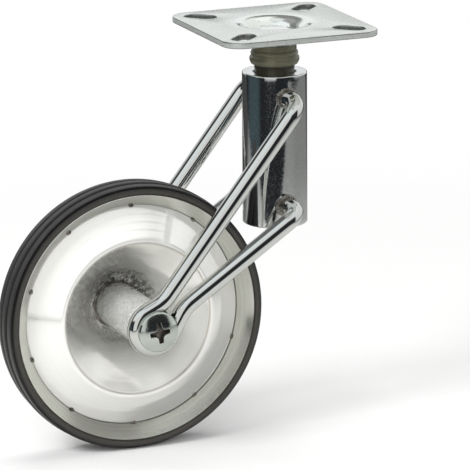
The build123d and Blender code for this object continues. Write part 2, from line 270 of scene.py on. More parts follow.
# polyline with arcs of the given radii at its inner corners, as 3-D or 2-D points
def filleted(points, radii, step=0.25):
    points = [Vector(p) for p in points]
    done = [points[0]]
    for before, corner, after, radius in zip(points, points[1:], points[2:], radii):
        towards, away = (before - corner).normalized(), (after - corner).normalized()
        half = acos(max(-1.0, min(1.0, towards.dot(away)))) / 2
        if radius <= 0 or half > pi / 2 - 1e-4:
            done.append(corner)
            continue
        reach = radius / tan(half)
        centre = corner + (towards + away).normalized() * (radius / sin(half))
        start, end = corner + towards * reach - centre, corner + away * reach - centre
        turn = pi - 2 * half
        steps = max(3, ceil(turn * radius / step))
        for index in range(steps + 1):
            share = index / steps
            arc = (start * sin((1 - share) * turn) + end * sin(share * turn)) / sin(turn)
            done.append(centre + arc)
    done.append(points[-1])
    return done


# the same line with no stretch longer than step
def refined(points, step):
    done = [points[0]]
    for start, end in zip(points, points[1:]):
        pieces = max(1, ceil((end - start).length / step))
        done += [start.lerp(end, (k + 1) / pieces) for k in range(pieces)]
    return done


# closed section of a sheet whose front face follows line and whose body lies on its right
def sheetSection(line, thickness):
    back = []
    for index, point in enumerate(line):
        ahead = line[min(index + 1, len(line) - 1)] - point
        behind = point - line[max(index - 1, 0)]
        along = (ahead.normalized() + behind.normalized()).normalized()
        back.append(point + Vector((along.y, -along.x)) * thickness)
    return line, back[::-1]


# corners of a closed section of four or more points, each rounded by the same radius
def edgeRounded(section, radius):
    ring = [Vector(p) for p in section]
    opened = [ring[0].lerp(ring[-1], 0.5)] + ring + [ring[0].lerp(ring[-1], 0.5)]
    return filleted(opened, [radius] * len(ring), radius / 4)[:-1]


def linked(name, data):
    made = bpy.data.objects.new(name, data)
    bpy.context.scene.collection.objects.link(made)
    return made


# piece from a shape's vertices and faces, in millimetres round centre, on a body and for nodes
def addPiece(name, shape, body, slotName, nodes, centre=(0, 0, 0), sharp=40, material=None):
    vertices, faces = shape
    mesh = bpy.data.meshes.new(name)
    mesh.from_pydata([tuple(Vector(v) * mm) for v in vertices], [], faces)
    mesh.validate()
    mesh.polygons.foreach_set("use_smooth", [True] * len(mesh.polygons))
    mesh.set_sharp_from_angle(angle=radians(sharp))
    mesh.materials.append(material or materials[slotName])
    piece = linked(name, mesh)
    piece.location = Vector(centre) * mm
    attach(piece, body)
    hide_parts(*nodes)
    # single points merged and faces turned outwards
    work = bmesh.new()
    work.from_mesh(mesh)
    bmesh.ops.remove_doubles(work, verts=work.verts, dist=1e-7)
    bmesh.ops.recalc_face_normals(work, faces=work.faces)
    work.to_mesh(mesh)
    work.free()
    return piece


# vertices and faces of a section of (radius, along) points turned round Y, or Z if upright
def lathed(section, segments, upright=False, shift=None, closed=True):
    vertices, faces = [], []
    count = len(section)
    for index in range(segments):
        angle = 2 * pi * index / segments
        for radius, along in section:
            if shift:
                radius, along = shift(radius, along, angle)
            x, side = radius * cos(angle), radius * sin(angle)
            vertices.append((x, side, along) if upright else (x, along, side))
    spans = count if closed else count - 1
    for index in range(segments):
        low, high = index * count, (index + 1) % segments * count
        for k in range(spans):
            after = (k + 1) % count
            face = (low + k, low + after, high + after, high + k)
            faces.append(face if upright else face[::-1])
    return vertices, faces


# vertices and faces of a round bar along a path; radius may be a function of the share
def swept(path, radius, around=48, closed=False):
    size = radius if callable(radius) else (lambda share, angle: radius)
    vertices, faces, side = [], [], None
    count = len(path)
    for index, point in enumerate(path):
        after = path[(index + 1) % count] if closed else path[min(index + 1, count - 1)]
        before = path[index - 1] if closed or index else path[0]
        along = (after - before).normalized()
        side = side if side is not None else along.orthogonal()
        side = (side - along * side.dot(along)).normalized()
        across = along.cross(side)
        for k in range(around):
            angle = 2 * pi * k / around
            reach = size(index / count, angle)
            vertices.append(point + side * cos(angle) * reach + across * sin(angle) * reach)
    for index in range(count if closed else count - 1):
        low, high = index * around, (index + 1) % count * around
        for k in range(around):
            after = (k + 1) % around
            faces.append((low + k, high + k, high + after, low + after)[::-1])
    if not closed:
        faces.append(tuple(range(around)))
        faces.append(tuple(range((count - 1) * around, count * around))[::-1])
    return vertices, faces


def roughness3(point, scale, amount):
    return noise.noise(Vector(point) * scale) * amount


materials = {}  # by the record's slot names

# pressed mounting plate with a slot at each corner and a well round the swivel pin
plate = {
    "length": plateHigh.x - plateLow.x, "width": plateHigh.y - plateLow.y, "thickness": 3.0,
    "corner": 9.0, "edgeRound": 0.7, "slotSpacing": 52.0, "slotLength": 15.5, "slotWidth": 8.5,
    "wellDepth": 5.0, "wellRound": 7.4, "wellMouth": 14.0, "wellFloor": 11.6, "ringOuter": 22.1,
    "pinRadius": 6.0, "colour": (0.87, 0.90, 0.86), "cutEdgeAndShadeColour": (0.12, 0.13, 0.125),
    "roughness": 0.28, "metal": 0.85,
}


def makeZinc():
    made, tree, surface, position = newMaterial("zincPlate", plate, Metallic=1.0)
    patches = placed(tree, "mottle", position, 70.0, 1.3)[0]
    fine = placed(tree, "mottle", position, 900.0, 1.6)[0]
    dots = placed(tree, "speckle", position, 260.0, 0.30)
    base = plate["colour"]
    cloudy = twoTone(tree, patches, base, 0.90, 1.05)
    spotted = washed(tree, dots[0], 0.35, cloudy, (0.42, 0.43, 0.45))
    distance = vectorSums(tree, "LENGTH", vectorSums(tree, "MULTIPLY", position, (1000.0, 1000.0, 0.0)))
    drawn = ranged(tree, distance, plate["wellMouth"] + 2.0, plate["ringOuter"] + 2.0, 0.35, 1.0)
    rough = ranged(tree, fine, 0.0, 1.0, plate["roughness"] * 0.75, plate["roughness"] * 1.4, False)
    smooth = times(tree, rough, drawn)
    facing = addNode(tree, "TexCoord").outputs["Normal"]
    steep = sums(tree, "ABSOLUTE", part(tree, facing, 2))
    inset = vectorSums(tree, "MULTIPLY", vectorSums(tree, "ABSOLUTE", position), (1000.0, 1000.0, 0.0))
    reachX = sums(tree, "SUBTRACT", part(tree, inset, 0), plate["length"] / 2 - 3.5)
    reachY = sums(tree, "SUBTRACT", part(tree, inset, 1), plate["width"] / 2 - 3.5)
    outline = ranged(tree, sums(tree, "MAXIMUM", reachX, reachY), 0.0, 0.5)
    wall = ranged(tree, steep, 0.05, 0.25, 1.0, 0.0)
    sheared = times(tree, outline, wall)
    # painted dark reflection: a line round the middle of the plate's rounded outer edge
    falling = ranged(tree, steep, 0.62, 0.86, 1.0, 0.0)
    line = times(tree, ranged(tree, steep, 0.15, 0.35), falling, outline)
    # painted shade on the slot walls, inside the outer edge and beyond the well's ring
    flat = ranged(tree, distance, plate["ringOuter"] + 1.0, plate["ringOuter"] + 3.0)
    level = ranged(tree, steep, 0.70, 0.95, 1.0, 0.0)
    paintedHollowShade = times(tree, flat, sums(tree, "SUBTRACT", 1.0, outline), level)
    # the outer cut edges are darker on their own; the painted reflection line and slot shade share their
    # dark colour
    cutEdgeAndPaintedShade = times(tree, sums(tree, "MAXIMUM", line, paintedHollowShade), 0.80)
    cutEdgeAndPaintedShade = sums(tree, "MAXIMUM", cutEdgeAndPaintedShade, times(tree, sheared, 0.30))
    feed(surface, "Base Color", blended(tree, cutEdgeAndPaintedShade, spotted, shade(plate["cutEdgeAndShadeColour"])))
    feed(surface, "Roughness", sums(tree, "MULTIPLY_ADD", sheared, 0.30, smooth))
    feed(surface, "Metallic", sums(tree, "MULTIPLY_ADD", sheared, -0.2, plate["metal"]))
    first = bumped(surface, fine, 0.05, 0.01)
    bumped(surface, patches, 0.18, 0.4, first)
    return made


materials["zinc_plate"] = makeZinc()


# points round a rounded rectangle, anticlockwise
def roundedLoop(length, width, corner, steps, centre=(0, 0), turn=0.0):
    points = []
    for side, (sx, sy) in enumerate(((1, 1), (-1, 1), (-1, -1), (1, -1))):
        for k in range(steps + 1):
            angle = radians(90 * side + 90 * k / steps)
            x = sx * (length / 2 - corner) + corner * cos(angle)
            y = sy * (width / 2 - corner) + corner * sin(angle)
            across, up = x * cos(turn) - y * sin(turn), x * sin(turn) + y * cos(turn)
            points.append((centre[0] + across, centre[1] + up))
    return points


def buildPlate():
    outer, mouth, base = plate["ringOuter"], plate["wellMouth"], plate["wellFloor"]
    thick, deep = plate["thickness"], plate["wellDepth"]
    segments = 192
    work = bmesh.new()
    loops = [roundedLoop(plate["length"], plate["width"], plate["corner"], 12)]
    for sx in (-1, 1):
        for sy in (-1, 1):
            centre = (sx * plate["slotSpacing"] / 2, sy * plate["slotSpacing"] / 2)
            end = plate["slotWidth"] / 2 - 0.001
            turn = radians(45 * sx * sy)
            loops.append(roundedLoop(plate["slotLength"], plate["slotWidth"], end, 10, centre, turn))
    turns = [2 * pi * k / segments for k in range(segments)]
    ring = [(outer * cos(turn), outer * sin(turn)) for turn in turns]
    edges = []
    for loop in loops + [ring]:
        verts = [work.verts.new((x, y, 0)) for x, y in loop]
        edges += [work.edges.new((a, b)) for a, b in zip(verts, verts[1:] + verts[:1])]
    bmesh.ops.triangle_fill(work, use_beauty=True, use_dissolve=False, edges=edges)
    for face in work.faces:
        if face.normal.z < 0:
            face.normal_flip()
    made = bmesh.ops.extrude_face_region(work, geom=list(work.faces))
    lowered = [g for g in made["geom"] if isinstance(g, bmesh.types.BMVert)]
    bmesh.ops.translate(work, verts=lowered, vec=(0, 0, -thick))
    work.normal_update()
    walls = [f for f in work.faces if abs(f.normal.z) < 0.1]
    inner = [f for f in walls if all(hypot(v.co.x, v.co.y) < outer + 0.01 for v in f.verts)]
    bmesh.ops.delete(work, geom=inner, context="FACES_ONLY")
    rims = [e for e in work.edges if len(e.link_faces) == 2 and
            abs(abs(e.link_faces[0].normal.z) - abs(e.link_faces[1].normal.z)) > 0.9]
    bmesh.ops.bevel(work, geom=rims, offset=plate["edgeRound"], segments=4, profile=0.5, affect="EDGES")
    # the pressed well, open at the ring that it shares with the flat sheet
    wall = atan2(deep, mouth - base)
    shift = thick * tan(wall / 2)
    low, bore = -deep - thick, plate["pinRadius"]
    upper = [(outer, 0), (mouth, 0), (base, -deep), (bore, -deep)]
    under = [(bore, low), (base + shift, low), (mouth + shift, -thick), (outer, -thick)]
    section = filleted(upper, (plate["wellRound"], 1.2)) + filleted(under, (2.7, 1.2))
    vertices, faces = lathed(refined(section, 1.5), segments, upright=True, closed=False)
    made = [work.verts.new(v) for v in vertices]
    for face in faces:
        work.faces.new([made[k] for k in face])
    bmesh.ops.remove_doubles(work, verts=work.verts, dist=0.004)
    bmesh.ops.recalc_face_normals(work, faces=work.faces)
    mesh = bpy.data.meshes.new("plateShape")
    work.to_mesh(mesh)
    work.free()
    shape = [v.co.copy() for v in mesh.vertices], [tuple(p.vertices) for p in mesh.polygons]
    addPiece("mountingPlate", shape, "plate", "zinc_plate", ["mounting_plate"], sharp=50)


buildPlate()
print("plate built")

# swivel tube: thinly plated, with a wider socket in its foot
tube = {
    "radius": 15.0, "bore": 10.0, "socket": 12.0, "socketDepth": 15.0, "edgeRound": 0.7,
    "colour": (0.74, 0.76, 0.75), "roughness": 0.06,
}


# thin plating over a turned tube: the same chrome with grainy specks and a softer mirror
def makeTubeChrome():
    made, tree, surface, position = newMaterial("tubeChrome", tube, Metallic=1.0)
    patches = placed(tree, "mottle", position, 40.0, 1.3)[0]
    grains = placed(tree, "mottle", position, 1100.0, 3.0)[0]
    dots = placed(tree, "speckle", position, 420.0, 0.30)
    lines = placed(tree, "streaks", position, 260.0, (1.0, 1.0, 0.05))[0]
    base = tube["colour"]
    tinted = twoTone(tree, patches, base, 0.92, 1.06)
    drawn = blended(tree, ranged(tree, lines, 0.45, 0.7, 0.0, 0.25), tinted, shade((0.50, 0.51, 0.52)))
    grainy = blended(tree, ranged(tree, grains, 0.45, 1.0, 0.0, 0.4), drawn, shade((0.92, 0.94, 0.92)))
    pitted = washed(tree, dots[0], 0.45, grainy, (0.34, 0.34, 0.33))
    feed(surface, "Base Color", pitted)
    roughened(surface, grains, 0.1, 0.9, tube, 0.6, 1.8)
    first = bumped(surface, patches, 0.25, 0.15)
    bumped(surface, grains, 0.10, 0.012, first)
    return made


socketTop = foot + tube["socketDepth"]
middle = (top + foot) / 2
tubeSection = filleted(
    [(tube["bore"], middle), (tube["bore"], top), (tube["radius"], top), (tube["radius"], foot),
     (tube["socket"], foot), (tube["socket"], socketTop), (tube["bore"], socketTop),
     (tube["bore"], middle)],
    (0.4, tube["edgeRound"], tube["edgeRound"], 0.4, 0.3, 0.3), 0.1)[:-1]
shape = lathed(refined(tubeSection, 2.0), 192, upright=True)
addPiece("swivelTube", shape, "fork", "chrome", ["swivel_tube"], material=makeTubeChrome())

# moulded nylon collar between the plate and the tube
collar = {
    "radius": 11.7, "topRadius": 10.3, "neck": 9.3, "bore": 6.05, "height": 9.6, "groove": 0.6,
    "colour": (0.16, 0.155, 0.10), "neckShadeColour": (0.03, 0.028, 0.02), "roughness": 0.2,
}


def makeNylon():
    made, tree, surface, position = newMaterial(
        "nylon", collar, Subsurface_Weight=0.25, Subsurface_Scale=0.004, Subsurface_Radius=(0.9, 0.8, 0.3))
    patches = placed(tree, "mottle", position, 120.0, 1.5)[0]
    fine = placed(tree, "mottle", position, 1400.0, 1.5)[0]
    base = collar["colour"]
    clouded = twoTone(tree, patches, base, 0.6, 1.3)
    # painted shade under the collar: below its underside the neck is coloured near black
    lowest = bushHigh.z - collar["height"]
    height = times(tree, part(tree, position, 2), 1000.0)
    neck = ranged(tree, height, lowest - 0.6, lowest + 0.4, 0.85, 0.0)
    feed(surface, "Base Color", blended(tree, neck, clouded, shade(collar["neckShadeColour"])))
    roughened(surface, fine, 0.0, 1.0, collar, 0.7, 1.5)
    bumped(surface, fine, 0.06, 0.02)
    return made


materials["nylon"] = makeNylon()
bushTop, groove, tall = bushHigh.z, collar["groove"], collar["height"]
outer, upper, bore = collar["radius"], collar["topRadius"], collar["bore"]
ringTop, ringLow, underside = bushTop - tall * 0.27, bushTop - tall * 0.48, bushTop - tall
bushSection = filleted(
    [(bore, bushTop - 2), (bore, bushTop), (upper - groove * 0.2, bushTop), (upper, ringTop),
     (upper - groove, ringTop - groove * 0.6), (upper + groove * 0.6, ringTop - groove * 1.6),
     (outer - groove, ringLow), (outer - 2 * groove, ringLow - groove),
     (outer - 0.3, ringLow - 3 * groove), (outer, bushTop - tall * 0.78), (outer - 1.0, underside),
     (collar["neck"], underside), (collar["neck"], top - 0.5), (tube["bore"], top - 1),
     (tube["bore"], bushLow.z), (bore, bushLow.z), (bore, bushTop - 2)],
    (0.2, 0.5, 0.3, 0.2, 0.3, 0.5, 0.3, 2.0, 2.5, 0.7, 0.3, 0.2, 0.1, 0.2, 0.2), 0.08)[:-1]
shape = lathed(refined(bushSection, 1.5), 160, upright=True)
addPiece("nylonCollar", shape, "fork", "nylon", ["upper_bush"])
print("tube and collar built")

# bent wires of the fork, each one bar from its upper stub round the axle's eye to its lower stub
wire = {
    "radius": 4.0, "halfWidth": 28.8, "stubInset": 10.4, "stubBend": 7.5, "eyeRadius": 8.8,
    "kinkRadius": 17.0, "upperKink": (5.0, 12.25), "lowerKink": (15.0, 8.6),
    "colour": (0.70, 0.71, 0.69), "roughness": 0.035,
}


def makeChrome(name="chrome", piece=wire):
    made, tree, surface, position = newMaterial(name, piece, Metallic=1.0)
    patches = placed(tree, "mottle", position, 45.0, 1.2)[0]
    fine = placed(tree, "mottle", position, 1500.0, 1.5)[0]
    dots = placed(tree, "speckle", position, 330.0, 0.12)
    tinted = twoTone(tree, patches, piece["colour"], 0.95, 1.04)
    pitted = washed(tree, dots[0], 0.5, tinted, (0.25, 0.24, 0.23))
    feed(surface, "Base Color", pitted)
    roughened(surface, fine, 0.2, 0.8, piece, 0.6, 1.6)
    first = bumped(surface, patches, 0.2, 0.12)
    bumped(surface, fine, 0.06, 0.01, first)
    return made


def touchAngle(kink, side):
    return atan2(kink[1], kink[0]) + side * acos(wire["eyeRadius"] / hypot(*kink))


# centreline of one wire, from its upper stub round the eye to its lower stub
def wirePath(side):
    across = side * wire["halfWidth"]
    upper, lower = top - wire["stubInset"], foot + wire["stubInset"]
    high, low = touchAngle(wire["upperKink"], 1), touchAngle(wire["lowerKink"], -1)

    def inPlane(x, z):
        return Vector((x - trail, across, z - drop))

    def onEye(angle):
        return inPlane(wire["eyeRadius"] * cos(angle), wire["eyeRadius"] * sin(angle))

    first = filleted([(0, side * 11, upper), (0, across, upper), inPlane(*wire["upperKink"]), onEye(high)],
                     (wire["stubBend"], wire["kinkRadius"]), 0.7)
    turn = low + 2 * pi - high
    loop = [onEye(high + turn * k / 60) for k in range(1, 60)]
    last = filleted([onEye(low), inPlane(*wire["lowerKink"]), (0, across, lower), (0, side * 11, lower)],
                    (wire["kinkRadius"], wire["stubBend"]), 0.7)
    return refined(first + loop + last, 2.0)


materials["chrome"] = makeChrome()
for side, name in ((-1, "near"), (1, "far")):
    shape = swept(wirePath(side), wire["radius"], 64)
    addPiece(f"{name}ForkWire", shape, "fork", "chrome", [f"{name}_fork_wire"])

# weld beads, wherever a piece says weld
bead = {
    "radius": 1.4, "upperRadius": 1.0, "ripples": 20, "rippleDepth": 0.16, "heavySide": 150.0,
    "valleyColour": (0.08, 0.065, 0.05), "colour": (0.40, 0.38, 0.35), "roughness": 0.3,
}


# weld metal under plating: brown heat colours, darker and duller in random patches
def makeWeld():
    made, tree, surface, position = newMaterial("weld", bead, Metallic=1.0)
    patches = placed(tree, "mottle", position, 260.0, 2.2)[0]
    grit = placed(tree, "speckle", position, 900.0, 0.5)
    warm = blended(tree, patches, shade(bead["valleyColour"]), shade(bead["colour"]))
    sooty = washed(tree, grit[0], 0.55, warm, (0.09, 0.08, 0.08))
    feed(surface, "Base Color", sooty)
    roughened(surface, patches, 0.0, 1.0, bead, 1.4, 2 / 3)
    bumped(surface, grit[1], 0.4, 0.12)
    return made


# rippled weld bead where a stub meets the tube
def stubBead(side, height):
    path = []
    for k in range(132):
        angle = 2 * pi * k / 132
        reach = wire["radius"] + 0.35 + 0.2 * sin(3 * angle + height)
        x, z = reach * cos(angle), reach * sin(angle)
        path.append(Vector((x, side * (sqrt(tube["radius"] ** 2 - x * x) + 0.15), height + z)))

    def size(share, angle):
        ripple = abs(sin(pi * bead["ripples"] * share + 0.6 * sin(angle)))
        lump = roughness3((cos(2 * pi * share) * 2, sin(2 * pi * share) * 2, height), 1.3, 0.3)
        thicker = 0.62 + 0.5 * max(0.0, cos(2 * pi * share - radians(bead["heavySide"])))
        full = bead["radius"] if height < middle else bead["upperRadius"]
        return full * thicker * (1 + lump) - bead["rippleDepth"] * (1 - ripple)

    return swept(path, size, around=28, closed=True)


materials["weld"] = makeWeld()
for level, height in (("upper", top - wire["stubInset"]), ("lower", foot + wire["stubInset"])):
    for side, name in ((-1, "Near"), (1, "Far")):
        shape = stubBead(side, height)
        addPiece(f"{level}Bead{name}", shape, "fork", "weld", [f"{level}_stub_welds"])
print("fork built")

# domed heads of the axle: a cross recess in the near one, a plain barrel nut on the far side
head = {
    "radius": 9.4, "height": 4.4, "rim": 2.1, "crossLength": 9.8, "crossWidth": 2.5, "crossHollow": 3.2,
    "crossDepth": 2.8, "crossTurn": 8.0, "colour": (0.58, 0.62, 0.58), "roughness": 0.14,
}


def makeScrewZinc():
    made, tree, surface, position = newMaterial("screwZinc", head, Metallic=1.0)
    patches = placed(tree, "mottle", position, 220.0, 1.5)[0]
    dots = placed(tree, "speckle", position, 520.0, 0.30)
    base = head["colour"]
    cloudy = twoTone(tree, patches, base, 0.86, 1.08)
    dotted = washed(tree, dots[0], 0.5, cloudy, (0.92, 0.94, 0.92))
    feed(surface, "Base Color", dotted)
    roughened(surface, patches, 0.0, 1.0, head, 4 / 7, 10 / 7)
    first = bumped(surface, patches, 0.3, 0.15)
    bumped(surface, dots[1], 0.25, 0.06, first)
    return made


# inside of the screw's recess, coloured dark and dull
def makeRecess():
    recessTone = {"colour": (0.16, 0.14, 0.12), "roughness": 0.42}
    made, tree, surface, position = newMaterial("screwRecess", recessTone, Metallic=0.9)
    grit = placed(tree, "speckle", position, 1500.0, 0.6)
    patches = placed(tree, "mottle", position, 500.0, 2.0)[0]
    worn = blended(tree, patches, shade((0.07, 0.06, 0.055)), shade((0.30, 0.28, 0.25)))
    feed(surface, "Base Color", blended(tree, grit[0], worn, shade((0.03, 0.03, 0.03))))
    bumped(surface, grit[1], 0.4, 0.1)
    return made


# how deep the cross recess is at a point of the head: four lobes with hollow corners
def crossDepth(x, z):
    turn = radians(head["crossTurn"])
    a, b = abs(x * cos(turn) + z * sin(turn)), abs(z * cos(turn) - x * sin(turn))
    half, wide = head["crossLength"] / 2, head["crossWidth"] / 2
    longer, shorter = max(a, b), min(a, b)
    lobe = min(wide * (1.25 - 0.4 * longer / half) - shorter, half - hypot(longer, 0.8 * shorter))
    corner = (head["crossHollow"] - a * b) / (a + b + 0.1)
    inside = max(lobe, min(corner, half * 0.72 - longer))
    wall = min(1.0, max(0.0, inside / 0.55))
    return head["crossDepth"] * wall * wall * (3 - 2 * wall)


# domed head with a thin turned rim, seated on the outer face of an eye
def domedHead(side, recessed):
    seat = wire["halfWidth"] + wire["radius"]
    dome = head["height"] - head["rim"]
    curve = (head["radius"] ** 2 + dome ** 2) / (2 * dome)
    section = []
    for k in range(1, 101):
        radius = head["radius"] * k / 100
        ease = max(0.0, (radius - head["radius"] + 0.7) / 0.7)
        section.append((radius, head["height"] - curve + sqrt(curve ** 2 - radius ** 2) - 0.45 * ease ** 2))
    section += [(head["radius"], head["rim"] * 0.3), (head["radius"] - 0.2, 0), (6.0, 0)]
    segments, count = 240, len(section)

    def hollowed(radius, height, angle):
        deep = recessed and height > head["rim"]
        sunk = crossDepth(radius * cos(angle), radius * sin(angle)) if deep else 0.0
        return radius, side * (seat + height - sunk)

    vertices, faces = lathed(section, segments, shift=hollowed, closed=False)
    sunk = crossDepth(0, 0) if recessed else 0.0
    vertices.append((0, side * (seat + head["height"] - sunk), 0))
    faces += [(segments * count, k * count, (k + 1) % segments * count) for k in range(segments)]
    return vertices, faces


materials["screw_zinc"] = makeScrewZinc()
shape = domedHead(-1, True)
screwHead = addPiece("axleScrewHead", shape, "fork", "screw_zinc", ["axle_screw"], axle, sharp=60)
screwHead.data.materials.append(makeRecess())
for face in screwHead.data.polygons:
    face.material_index = 1 if crossDepth(face.center.x / mm, face.center.z / mm) > 0.5 else 0
barrel = [(0, -wire["halfWidth"] - 3), (4.6, -wire["halfWidth"] - 3), (4.75, -wire["halfWidth"] - 2.6),
          (4.75, wire["halfWidth"] + 4), (0, wire["halfWidth"] + 4)]
vertices, faces = domedHead(1, False)
stemVertices, stemFaces = lathed([Vector(p) for p in barrel], 64, closed=False)
offset = len(vertices)
shape = vertices + stemVertices, faces + [tuple(k + offset for k in face) for face in stemFaces]
addPiece("axleBarrel", shape, "fork", "screw_zinc", ["axle_barrel"], axle, sharp=50)
print("axle heads built")

# spun sheet disc of the wheel: a flat ring round a bowl that runs down to the hub tube
disc = {
    "sheet": 1.5, "flangeRadius": 52.0, "flangeDepth": 4.0, "shoulder": 1.2, "crownRadius": 36.0,
    "crownHeight": 10.1, "floorRadius": 14.5, "bowlDepth": 18.7, "shoulderRound": 1.7,
    "crownRound": 2.2, "floorRound": 6.0, "colour": (0.97, 0.968, 0.93), "roughness": 0.085,
    "anisotropy": 0.45, "metal": 0.40, "bowlMetal": 0.68, "bowlRoughness": 0.09,
    "ridgeReflectionColour": (0.50, 0.46, 0.40),
}
hub = {"radius": 10.5, "bore": 8.0, "bead": 0.55, "colour": (0.97, 0.97, 0.95), "roughness": 0.25}


# spun sheet: fine rings blur what it mirrors along its radius; the bowl is polished brighter
def makeSpun():
    made, tree, surface, position = newMaterial(
        "mirrorDisc", disc, Anisotropic=disc["anisotropy"], Anisotropic_Rotation=0.25)
    turnGrain(surface)
    rings = placed(tree, "ringGrain", position, 3.0, 0.5)
    patches = placed(tree, "mottle", position, 60.0, 1.1)[0]
    grit = placed(tree, "speckle", position, 760.0, 0.62)
    fringe = placed(tree, "mottle", position, 260.0, 3.0)[0]
    radius = times(tree, rings["Radius"], 1000.0)
    annulus = ranged(tree, radius, disc["crownRadius"] - 1.5, disc["crownRadius"] + 0.5)
    reach = sums(tree, "MULTIPLY_ADD", fringe, -3.0, radius)
    scorch = ranged(tree, reach, hub["radius"] + 0.5, hub["radius"] + 7.0, 1.0, 0.0)
    feed(surface, "Metallic", ranged(tree, annulus, 0.0, 1.0, disc["bowlMetal"], disc["metal"]))
    base = disc["colour"]
    toned = twoTone(tree, rings["Tone"], base, 0.95, 1.04)
    clouded = blended(tree, ranged(tree, patches, 0.5, 0.95, 0.0, 0.2), toned, shade((0.86, 0.85, 0.82)))
    lean = vectorSums(tree, "DOT_PRODUCT", position, (0.45, 0.0, 0.75))
    side = ranged(tree, times(tree, lean, 1000.0), -10.0, 8.0, 0.75, 1.0)
    soot = times(tree, scorch, side, ranged(tree, fringe, 0.15, 0.75, 0.98, 0.5))
    dusky = blended(tree, soot, clouded, shade((0.10, 0.095, 0.085)))
    spatter = placed(tree, "mottle", position, 520.0, 3.5)[0]
    upper = ranged(tree, times(tree, lean, 1000.0), -4.0, 8.0, 0.25, 1.0)
    burn = ranged(tree, reach, hub["radius"], hub["radius"] + 8.0, 1.0, 0.0)
    burn = times(tree, burn, upper, ranged(tree, spatter, 0.42, 0.70, 0.0, 0.85))
    dusky = blended(tree, burn, dusky, shade((0.025, 0.024, 0.021)))
    flecks = ranged(tree, grit[0], 0.55, 0.95, 0.0, 0.8)
    burnt = blended(tree, times(tree, flecks, scorch), dusky, shade((0.80, 0.80, 0.77)))
    # painted reflection: a thin tan line along the crown ridge that tones down its white highlight
    offRidge = sums(tree, "ABSOLUTE", sums(tree, "SUBTRACT", radius, disc["crownRadius"] - 0.5))
    ridge = ranged(tree, offRidge, 0.15, 0.55, 0.75, 0.0)
    feed(surface, "Base Color", blended(tree, ridge, burnt, shade(disc["ridgeReflectionColour"])))
    low, high = disc["bowlRoughness"], disc["roughness"]
    plain = ranged(tree, annulus, 0.0, 1.0, low, high, False)
    varied = times(tree, plain, ranged(tree, patches, 0.2, 0.8, 0.93, 1.1, False))
    feed(surface, "Roughness", sums(tree, "MULTIPLY_ADD", scorch, 0.18, varied))
    first = bumped(surface, rings["Height"], 0.10, 0.02)
    bumped(surface, times(tree, grit[1], scorch), 0.8, 0.35, first)
    return made


materials["mirror_disc"] = makeSpun()
discLine = filleted(
    [(disc["flangeRadius"], disc["flangeDepth"]), (disc["flangeRadius"], -disc["shoulder"]),
     (disc["crownRadius"], -disc["crownHeight"]), (disc["floorRadius"], disc["bowlDepth"]),
     (hub["radius"], disc["bowlDepth"])],
    (disc["shoulderRound"], disc["crownRound"], disc["floorRound"]), 0.15)
front, back = sheetSection(refined(discLine, 0.5), disc["sheet"])


# slight unevenness that spinning leaves in the sheet
def spunWaves(radius, along, angle):
    ripple = 0.010 * sin(radius * 1.9) + 0.006 * sin(radius * 3.7 + 1.0)
    lobes = 0.010 * sin(2 * angle + radius * 0.05) + 0.006 * sin(5 * angle + 0.7)
    ease = min(1.0, max(0.0, (radius - hub["radius"] - 1) / 6)) * min(1.0, max(0.0, (50 - radius) / 3))
    return radius, along + (ripple + lobes) * ease


shape = lathed(front + back, 512, shift=spunWaves)
addPiece("wheelDisc", shape, "wheel", "mirror_disc", ["wheel_disc"], axle, sharp=60)

# rolled rim, brushed round its flares
rim = {
    "sheet": 1.5, "land": 52.0, "landHalf": 1.8, "lip": 57.6, "lipHalf": 9.1, "round": 1.5,
    "colour": (0.60, 0.602, 0.555), "roughness": 0.17,
}


def makeBrushedRim():
    made, tree, surface, position = newMaterial(
        "brushedRim", rim, Metallic=1.0, Anisotropic=0.35, Anisotropic_Rotation=0.25)
    turnGrain(surface)
    rings = placed(tree, "ringGrain", position, 1.6, 1.2)
    grain = placed(tree, "streaks", position, 700.0, (1.0, 0.04, 1.0))[0]
    grit = placed(tree, "speckle", position, 420.0, 0.16)
    base = rim["colour"]
    toned = twoTone(tree, rings["Tone"], base, 0.88, 1.06)
    marked = washed(tree, grit[0], 0.45, toned, (0.30, 0.30, 0.29))
    feed(surface, "Base Color", marked)
    roughened(surface, grain, 0.3, 0.7, rim, 0.8, 1.25)
    first = bumped(surface, rings["Height"], 0.10, 0.03)
    bumped(surface, grit[1], 0.05, 0.03, first)
    return made


materials["brushed_rim"] = makeBrushedRim()
rimLine = filleted(
    [(rim["lip"], -rim["lipHalf"]), (rim["land"], -rim["landHalf"]), (rim["land"], rim["landHalf"]),
     (rim["lip"], rim["lipHalf"])], (rim["round"],) * 2, 0.15)
front, back = sheetSection(refined(rimLine, 0.8), rim["sheet"])
shape = lathed(front + back, 384)
addPiece("wheelRim", shape, "wheel", "brushed_rim", ["wheel_rim"], axle, sharp=60)


